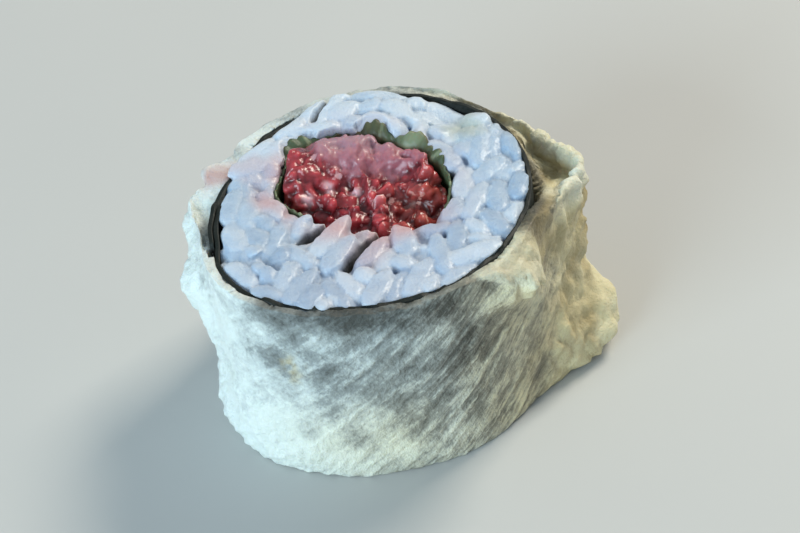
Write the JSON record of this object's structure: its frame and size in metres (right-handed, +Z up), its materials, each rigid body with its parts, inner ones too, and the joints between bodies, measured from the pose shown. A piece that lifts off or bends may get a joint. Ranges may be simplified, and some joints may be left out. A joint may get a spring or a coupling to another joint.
{
  "type": "deep-fried sushi piece",
  "caption": "Piece of deep-fried sushi roll standing on a cut face: battered seaweed round rice with a chopped raw fish and herb leaf core.",
  "frame": {"origin": "on the ground, under the middle of the piece's outline", "axes": "+Z up along the axis of the roll, +X to the frilled side of the batter, -Y towards the thinly battered front"},
  "size_m": [0.0441, 0.0356, 0.0244],
  "materials": {
    "batter": "crisp fried batter, pale cream to tan",
    "nori": "dark green seaweed, satin",
    "rice": "moist, slightly translucent white",
    "tuna": "moist raw red flesh, paler behind",
    "shiso": "green herb leaf"
  },
  "bodies": {
    "root": {"batter": "batter", "nori": "nori", "rice": "rice", "tuna": "tuna", "shiso": "shiso"}
  },
  "joints": []
}
